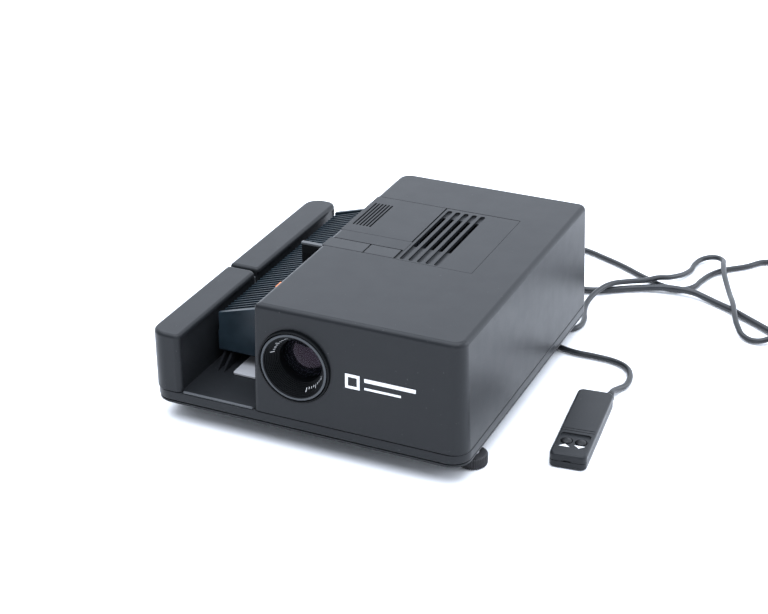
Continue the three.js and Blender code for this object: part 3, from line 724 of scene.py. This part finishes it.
def build_lamp_cover():
    x0, x1, y0, y1 = LID
    builder = bmesh.new()
    add_block(builder, (x0, x1, y0, y1 - 0.4), (TOP - 3, TOP), 0.8, high_edge=0.1)
    cover = new_piece("lamp_lid", builder)
    slots = bmesh.new()
    for i in range(VENTS):
        x = FIRST_VENT + i * VENT_STEP
        add_block(slots, (x, x + VENT_WIDTH, y0 + 1.6, y1 - 4.4), (TOP - 1.9, TOP + 4), VENT_WIDTH / 2)
    carve(cover, slots)
    holes = bmesh.new()
    for i in range(VENTS):
        x = FIRST_VENT + i * VENT_STEP
        add_block(holes, (x + 0.01, x + VENT_WIDTH - 0.01, 148, 210), (TOP - 9, TOP + 4), 0.6)
    carve(cover, holes)
    soften(cover, 0.2, angle=50)
    return cover


def build_grille():
    x0, x1, y0, y1 = PANEL
    panel = block("grille", (x0, x1 - 0.6, y0, y1), (TOP - 3, TOP), 0.8)
    slots = bmesh.new()
    for i in range(6):
        x = 101 + i * 3
        add_block(slots, (x, x + 1.4, 165, 212), (TOP - 6, TOP + 3), 0.68)
    carve(panel, slots)
    soften(panel, 0.15, angle=50)
    return panel


def build_key(name, x0, x1):
    builder = bmesh.new()
    rect = (x0 + 0.15, x1 - 0.15, KEYS[3] + 0.3, KEYS[4] - 0.3)
    add_block(builder, rect, (TOP - 2.4, TOP), 1.1, high_edge=0.45)
    middle = (x0 + x1) / 2
    add_box(builder, middle - 3, middle + 3, 121, 125, 108.6, TOP - 2)
    return new_piece(name, builder)


def build_wing(name, y0, y1, corners, end_walls):
    """A hollow bar whose cap stands proud of its inner wall; end_walls are (front, back)."""
    rect = (0, WING_WIDTH, y0, y1)
    cover = block(name, rect, (SEAM, WING_TOP), corners, low_edge=0.5, high_edge=3.2)
    front, back = end_walls
    hollow = bmesh.new()
    inside = (WING_WALL, WING_INNER - WING_WALL, y0 + front, y1 - back)
    add_block(hollow, inside, (10, WING_TOP - WING_CAP), 2)
    carve(cover, hollow)
    undercut = bmesh.new()
    add_box(undercut, WING_INNER, WING_WIDTH + 6, y0 + front, y1 - back, 10, WING_TOP - WING_CAP)
    carve(cover, undercut)
    soften(cover, 0.5, angle=55)
    return cover


def refined(node, width=0.3):
    """The CAD solid with clean faces and softened edges, as a piece of its own."""
    builder = bmesh.new()
    builder.from_mesh(frame["nodes"][node].data)
    bmesh.ops.remove_doubles(builder, verts=builder.verts, dist=1e-6)
    bmesh.ops.dissolve_limit(builder, angle_limit=math.radians(1), verts=builder.verts, edges=builder.edges)
    mesh = bpy.data.meshes.new(node + "_look")
    builder.to_mesh(mesh)
    builder.free()
    piece = bpy.data.objects.new(node + "_look", mesh)
    bpy.context.scene.collection.objects.link(piece)
    soften(piece, width)
    return piece


# ---------- lens ----------
def build_port_ring():
    profile = [(28.8, -0.2), (29.1, -0.6), (29.9, -0.6), (30.3, -0.2), (30.3, 9), (28.8, 9)]
    return turned("lens_port", profile, (LENS_X, LENS_Z), segments=96)


def build_barrel():
    """A tube with a wide front, whose inside steps down in fine baffle rings to the glass."""
    profile = [(26.0, -0.6), (27.6, -0.6), (28.2, 0), (28.2, 17), (24, 19), (24, 78), (15.3, 78),
               (15.3, 32), (18.3, 32), (18.3, 12.6)]
    rings = 9
    for i in range(rings):
        t = i / rings
        radius = CONE_RADIUS + CONE_FLARE * t
        y = CONE_DEPTH * (1 - t)
        profile += [(radius, y), (radius + 0.5, y - 0.1), (radius + 0.5, y - 1.0)]
    profile += [(25.4, -0.4)]
    return turned("lens_tube", profile, (LENS_X, LENS_Z), segments=96)


def build_rim():
    """The thin grey band round the front of the tube."""
    profile = [(26.2, -0.7), (27.7, -0.7), (28.0, -0.45), (28.0, -0.2), (26.2, -0.2)]
    return turned("lens_rim", profile, (LENS_X, LENS_Z), segments=96)


def element(name, radius, y0, y1, front_bulge, back_bulge):
    """A round glass with a bulge of its own height on each face."""
    steps = 10
    profile = []
    for i in range(steps + 1):
        t = i / steps
        profile.append((radius * t, y0 - front_bulge * (1 - t * t)))
    for i in range(steps, -1, -1):
        t = i / steps
        profile.append((radius * t, y1 + back_bulge * (1 - t * t)))
    return turned(name, profile, (LENS_X, LENS_Z), segments=72)


def build_rim_marks():
    """Two arcs of fine white division marks on the cone round the lens, with no lettering."""
    builder = bmesh.new()
    marks = 9
    half_width = 0.28
    lift = 0.12
    for start in (112, 290):
        for i in range(marks):
            angle = math.radians(start + i * 6.4)
            c, s = math.cos(angle), math.sin(angle)
            long_mark = i % 4 == 0
            ends = []
            for t in (0.36, 0.68 if long_mark else 0.52):
                radius = CONE_RADIUS + CONE_FLARE * t - lift
                for side in (-half_width, half_width):
                    ends.append((LENS_X + radius * c - side * s, CONE_DEPTH * (1 - t),
                                 LENS_Z + radius * s + side * c))
            a, b, d, e = [builder.verts.new(point) for point in ends]
            builder.faces.new((a, b, e, d))
    return new_piece("lens_marks", builder)


def build_changer_arm():
    """A flat bar that reaches out of the housing over the tray; its light grey is a painted highlight on
    the arm's top edge.
    """
    return block("changer_bar", (71, 222, GATE_Y - 2, GATE_Y + 2), (112.2, 114), 0.8, high_edge=0.4)


def build_changer_finger():
    """The blade under the bar's end that pushes the slide; its black is painted shade on the arm's front
    face.
    """
    builder = bmesh.new()
    add_block(builder, (71, 79, GATE_Y - 0.8, GATE_Y + 0.8), (89.5, 111.2), 0.4, low_edge=0.4)
    add_block(builder, (71.5, 90, GATE_Y - 1.9, GATE_Y + 1.9), (104, 112.1), 0.5)
    return new_piece("changer_blade", builder)


# ---------- tray, feet and handset ----------
def knurled_wheel(name, place):
    ribs = 40
    rings = []
    levels = [(0.86, 0), (0.95, 0.3), (1, 1.0), (1, WHEEL_HEIGHT - 1.0), (0.95, WHEEL_HEIGHT - 0.3),
              (0.86, WHEEL_HEIGHT)]
    for scale, z in levels:
        ring = []
        for i in range(ribs * 4):
            depth = (0, 0, 0.75, 0.75)[i % 4]
            radius = (WHEEL_RADIUS - depth) * scale
            angle = 2 * math.pi * i / (ribs * 4)
            ring.append((place[0] + radius * math.cos(angle), place[1] + radius * math.sin(angle), z))
        rings.append(ring)
    builder = bmesh.new()
    add_loft(builder, rings)
    wheel = new_piece(name, builder)
    recess = bmesh.new()
    add_lathe(recess, [(0, WHEEL_HEIGHT - 4), (4, WHEEL_HEIGHT - 4), (4, WHEEL_HEIGHT + 2),
                       (0, WHEEL_HEIGHT + 2)], place, "z", 32)
    carve(wheel, recess)
    return wheel


def threaded_spindle(name, place):
    """A column with the crests of its thread, standing in the wheel."""
    profile = [(0, WHEEL_HEIGHT - 3.6), (3.6, WHEEL_HEIGHT - 3.6), (3.6, WHEEL_HEIGHT + 0.3),
               (4.8, WHEEL_HEIGHT + 0.3)]
    for i in range(9):
        z = WHEEL_HEIGHT + 0.8 + i * 2.1
        profile += [(5.15, z), (5.15, z + 1.1), (4.75, z + 1.5), (4.75, z + 1.9)]
    profile += [(4.75, 30), (0, 30)]
    return turned(name, profile, place, "z", 48)


def build_handset_half(name, z0, z1, low_edge, high_edge):
    width, length, _ = HANDSET_SIZE
    return block(name, (0, width, 0, length), (z0, z1), 5, on_handset,
                 low_edge=low_edge, high_edge=high_edge)


def build_handset_top():
    top = build_handset_half("handset_upper", 6.3, HANDSET_SIZE[2], 0.3, 2.2)
    bay = bmesh.new()
    add_block(bay, (2.6, HANDSET_SIZE[0] - 2.6, 10.4, 33), (HANDSET_SIZE[2] - BAY_DEPTH, 20), 3)
    carve(top, bay, on_handset)
    cuts = bmesh.new()
    for y in (36.2, 39.6):
        add_box(cuts, 1.5, HANDSET_SIZE[0] - 1.5, y, y + 0.6, HANDSET_SIZE[2] - 0.6, 20)
    add_box(cuts, 11.5, 17.5, -1, 1.5, 5, 7.2)
    for x in BUTTONS_X:
        add_lathe(cuts, [(0, 0), (4.9, 0), (4.9, 20), (0, 20)], (x, BUTTONS_Y), "z", 40)
    carve(top, cuts, on_handset)
    soften(top, 0.3, angle=50)
    return top


def build_button(name, x):
    profile = [(0, 8), (4.4, 8), (4.4, 11.0), (4.1, 11.5)]
    for i in range(1, 7):
        a = math.pi / 2 * i / 6
        profile.append((4.0 * math.cos(a), 11.5 + 1.1 * math.sin(a)))
    return turned(name, profile, (x, BUTTONS_Y), "z", 40, on_handset)


def add_triangle(builder, x, y, half_width, height, z):
    """A flat printed triangle; a negative height points it to the front."""
    low = [(x - half_width, y, z), (x + half_width, y, z), (x, y + height, z)]
    high = [(px, py, z + 0.15) for px, py, _ in low]
    if height < 0:
        low.reverse()
        high.reverse()
    add_loft(builder, [low, high])


def build_handset_prints():
    builder = bmesh.new()
    floor = HANDSET_SIZE[2] - BAY_DEPTH
    add_triangle(builder, BUTTONS_X[0], 14.2, 4.2, 3.6, floor - 0.05)
    add_triangle(builder, BUTTONS_X[1], 17.8, 4.2, -3.6, floor - 0.05)
    return new_piece("handset_arrows", builder, on_handset)


# ---------- prints on the housing ----------
def front_face_y(z):
    return DRAFT * (z - SEAM)


def build_badge():
    """A plain pictogram of a mounted slide with two rules beside it, in place of a badge."""
    builder = bmesh.new()
    z0, z1 = 66.4, 78.4
    y = front_face_y((z0 + z1) / 2)

    def bar(x0, x1, low, high):
        add_box(builder, x0, x1, y - 0.35, y + 0.5, low, high)

    x = 172
    size = z1 - z0
    bar(x, x + size, z1 - 2.2, z1)
    bar(x, x + size, z0, z0 + 2.2)
    bar(x, x + 2.2, z0 + 2.2, z1 - 2.2)
    bar(x + size - 2.2, x + size, z0 + 2.2, z1 - 2.2)
    bar(x + size + 4, x + 58, z1 - 4.2, z1 - 1.2)
    bar(x + size + 4, x + 46, z0 + 1.4, z0 + 3.2)
    return new_piece("front_badge", builder)


def build_index_mark():
    """The small orange index line on the top left edge."""
    lean = DRAFT * (TOP - SEAM)
    builder = bmesh.new()
    add_box(builder, BODY_LEFT + lean + 0.5, BODY_LEFT + lean + 2.2, 37, 46, TOP - 3.4, TOP - 1.1)
    return new_piece("index_mark", builder)


# ---------- assembly ----------
add_camera()
add_studio()
add_floor()

strain_relief = build_strain_relief()
show(strain_relief, "mains_strain_relief")
remote_plug = build_remote_plug()
show(remote_plug, "remote_plug")
mains_plug, mains_pins = build_mains_plug()
show(mains_plug, "mains_plug")
for pin in mains_pins:
    show(pin, "mains_plug", nickel, stands_for=False)
sleeve = build_sleeve()
show(sleeve, "handset_cord_sleeve")
add_cords()

show(build_base(), "base_pan")
# The lip's light grey is a painted highlight along the front of the tray channel.
show(build_channel_lip(), "tray_channel_plate", grey_and_highlight, stands_for=False)
show(build_housing(), "housing_shell")
show(build_lamp_cover(), "lamp_cover")
show(build_grille(), "grille_panel")
show(build_key("key_cap_forward", KEYS[0], KEYS[1] - GAP), "key_forward")
show(build_key("key_cap_reverse", KEYS[1] + GAP, KEYS[2] - 1), "key_reverse")
show(build_wing("wing_front", 0, WING_SPLIT - 1.4, (14, 5, 6, 3), (4, -1)), "wing_front_cover")
show(build_wing("wing_rear", WING_SPLIT + 1.4, DEPTH, (3, 4, 9, 14), (-1, 5)), "wing_rear_cover")

show(build_port_ring(), "lens_port_ring", black_and_shade)
show(build_rim(), "lens_barrel", rim_grey, stands_for=False)
show(build_barrel(), "lens_barrel", black_and_shade)
show(build_rim_marks(), "lens_barrel", white_print, stands_for=False)
show(element("front_glass", 18, 19, 24, 4, 0.5), "lens_front_element", lens_glass)
show(element("rear_glass", 15, 68, 72, 0.5, 3), "lens_rear_element", lens_glass)

show(refined("tray_guide_pin"), "tray_guide_pin", grey_and_highlight)
# The bar's grey is a painted highlight and the blade's black is painted shade, both on one arm.
show(build_changer_arm(), "changer_arm", grey_and_highlight)
show(build_changer_finger(), "changer_arm", black_and_shade, stands_for=False)

for side, x in zip(("left", "right"), FEET_X):
    show(knurled_wheel(f"foot_wheel_{side}", (x, FEET_Y)), f"front_foot_{side}_wheel")
    show(threaded_spindle(f"foot_spindle_{side}", (x, FEET_Y)), f"front_foot_{side}_spindle")

show(build_handset_half("handset_lower", 0.2, 6, 1.4, 0.3), "handset_base")
show(build_handset_top(), "handset_top")
for way, x in zip(("up", "down"), BUTTONS_X):
    show(build_button(f"button_{way}", x), f"handset_button_{way}")
show(build_handset_prints(), "handset_top", white_print, stands_for=False)
show(build_badge(), "housing_shell", white_print, stands_for=False)
show(build_index_mark(), "housing_shell", orange_print, stands_for=False)

# The lamp house is black instead of steel, as painted shade for the dark inside the vents.
show(refined("lamp_house"), "lamp_house", black_and_shade)
for node in sorted(set(node_body) - shown):
    show(refined(node), node)
